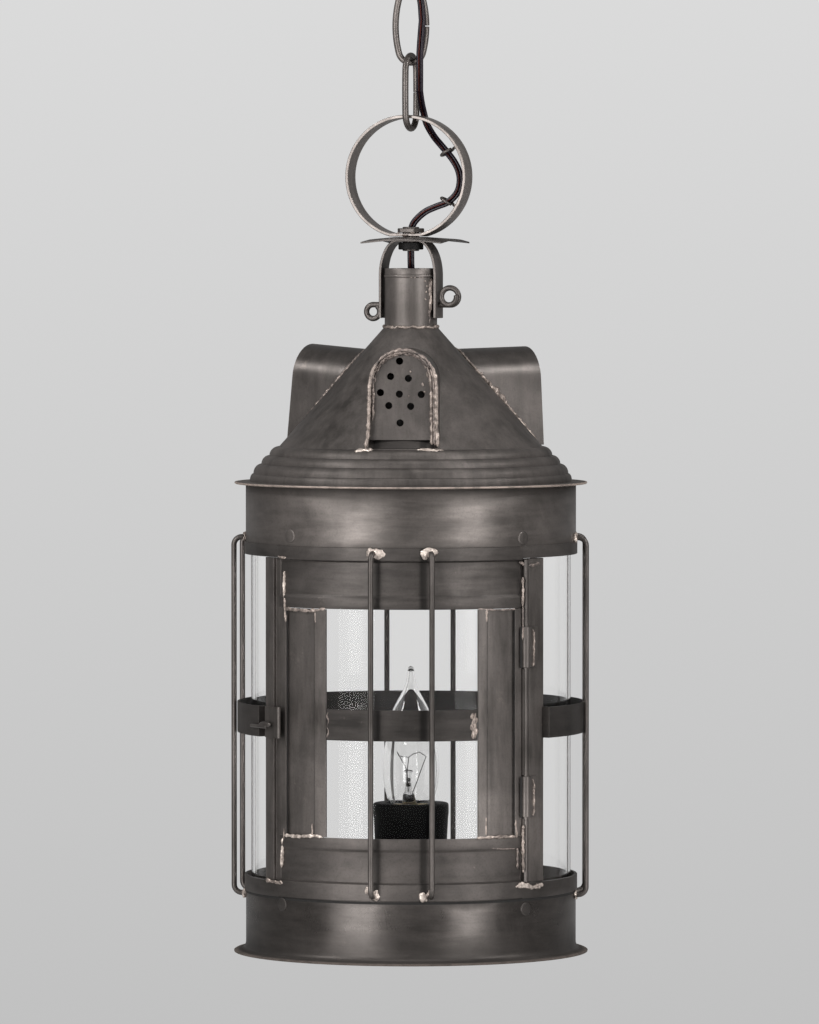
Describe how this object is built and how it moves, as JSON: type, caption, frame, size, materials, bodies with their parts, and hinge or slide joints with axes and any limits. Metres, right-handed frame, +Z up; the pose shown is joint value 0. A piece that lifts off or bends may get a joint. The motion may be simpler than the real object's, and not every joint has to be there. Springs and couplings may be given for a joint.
{
  "type": "hanging lantern",
  "caption": "Round sheet-metal hanging lantern with a beaded cone roof, pierced dormer vents, curved glass door, guard wires, strap bail, ring, chain and canopy.",
  "frame": {"origin": "on the ceiling plane, above the lantern's axis", "axes": "+Z up; the door faces -Y, turned 3.4 degrees to the left; +X is the viewer's right"},
  "size_m": [0.2051, 0.2047, 0.608],
  "materials": {
    "aged_sheet": "dark antique patina, brown-grey, lighter where rubbed",
    "dark_wire": "dark antique patina on round wire",
    "hardware": "antique patina, worn",
    "clear_glass": "clear, polished",
    "holder": "black moulded phenolic",
    "bulb_cap": "plain brass, screwed",
    "filament": "fine drawn wire on a glass stem",
    "cord_cover": "dark brown covered conductors"
  },
  "bodies": {
    "ceiling": {"mounting_strap": "hardware", "canopy": "aged_sheet", "canopy_nipple": "hardware", "canopy_loop": "aged_sheet", "cord_canopy": "cord_cover"},
    "link_upper": {"chain_link_upper": "aged_sheet", "cord_links": "cord_cover"},
    "link_lower": {"chain_link_lower": "aged_sheet", "cord_ring_top": "cord_cover"},
    "bail": {"top_ring": "aged_sheet", "wire_guide_upper": "dark_wire", "wire_guide_lower": "dark_wire", "ring_nut": "hardware", "bail_nipple": "hardware", "cap_plate": "aged_sheet", "bail_strap": "aged_sheet", "lock_nut": "dark_wire", "pivot_pin": "dark_wire", "cord_ring": "cord_cover", "cord_neck": "cord_cover"},
    "lantern": {"collar": "aged_sheet", "roof": "aged_sheet", "dormer_hood_front": "aged_sheet", "dormer_grille_front": "aged_sheet", "dormer_hood_right": "aged_sheet", "dormer_grille_right": "aged_sheet", "dormer_hood_left": "aged_sheet", "dormer_grille_left": "aged_sheet", "top_drum": "aged_sheet", "bottom_drum": "aged_sheet", "floor_plate": "aged_sheet", "post_right": "aged_sheet", "post_left": "aged_sheet", "hoop": "aged_sheet", "body_glass": "clear_glass", "inner_lead": "cord_cover", "guard_wire_right_a": "dark_wire", "guard_wire_right_b": "dark_wire", "guard_wire_back_a": "dark_wire", "guard_wire_back_b": "dark_wire", "guard_wire_left_a": "dark_wire", "guard_wire_left_b": "dark_wire", "hinge_strap_upper": "aged_sheet", "hinge_strap_lower": "aged_sheet", "latch_clip": "aged_sheet", "socket": "holder"},
    "door": {"door_rail_top": "aged_sheet", "door_rail_bottom": "aged_sheet", "door_stile_right": "aged_sheet", "door_stile_left": "aged_sheet", "door_mid_band": "aged_sheet", "door_glass": "clear_glass", "hinge_rod": "dark_wire", "guard_wire_front_a": "dark_wire", "guard_wire_front_b": "dark_wire"},
    "latch": {"latch_pin": "dark_wire"},
    "bulb": {"bulb_glass": "clear_glass", "bulb_base": "bulb_cap", "bulb_filament": "filament"}
  },
  "joints": [
    {"name": "link_upper_swing", "type": "hinge", "parent": "ceiling", "child": "link_upper", "pos_m": [0, 0, -0.05836], "axis": [0.342, 0.9397, 0], "range_deg": [-30, 30], "deforming": ["cord_canopy"]},
    {"name": "link_lower_swing", "type": "hinge", "parent": "link_upper", "child": "link_lower", "pos_m": [0, 0, -0.09616], "axis": [0.9397, -0.342, 0], "range_deg": [-30, 30], "deforming": ["cord_links"]},
    {"name": "bail_swing", "type": "hinge", "parent": "link_lower", "child": "bail", "pos_m": [0, 0, -0.13138], "axis": [0.342, 0.9397, 0], "range_deg": [-25, 25], "deforming": ["cord_ring_top"]},
    {"name": "lantern_swing", "type": "hinge", "parent": "bail", "child": "lantern", "pos_m": [0, 0, -0.2352], "axis": [0.9397, -0.342, 0], "range_deg": [-45, 45], "deforming": ["cord_neck"]},
    {"name": "door_hinge", "type": "hinge", "parent": "lantern", "child": "door", "pos_m": [0.06521, -0.07018, -0.4703], "axis": [0, 0, 1], "range_deg": [0, 110]},
    {"name": "latch_slide", "type": "slide", "parent": "lantern", "child": "latch", "axis": [0.5165, -0.8563, 0], "range_m": [-0.004, 0]},
    {"name": "bulb_turn", "type": "hinge", "parent": "lantern", "child": "bulb", "pos_m": [0, 0, -0.53], "axis": [0, 0, 1], "continuous": true}
  ]
}
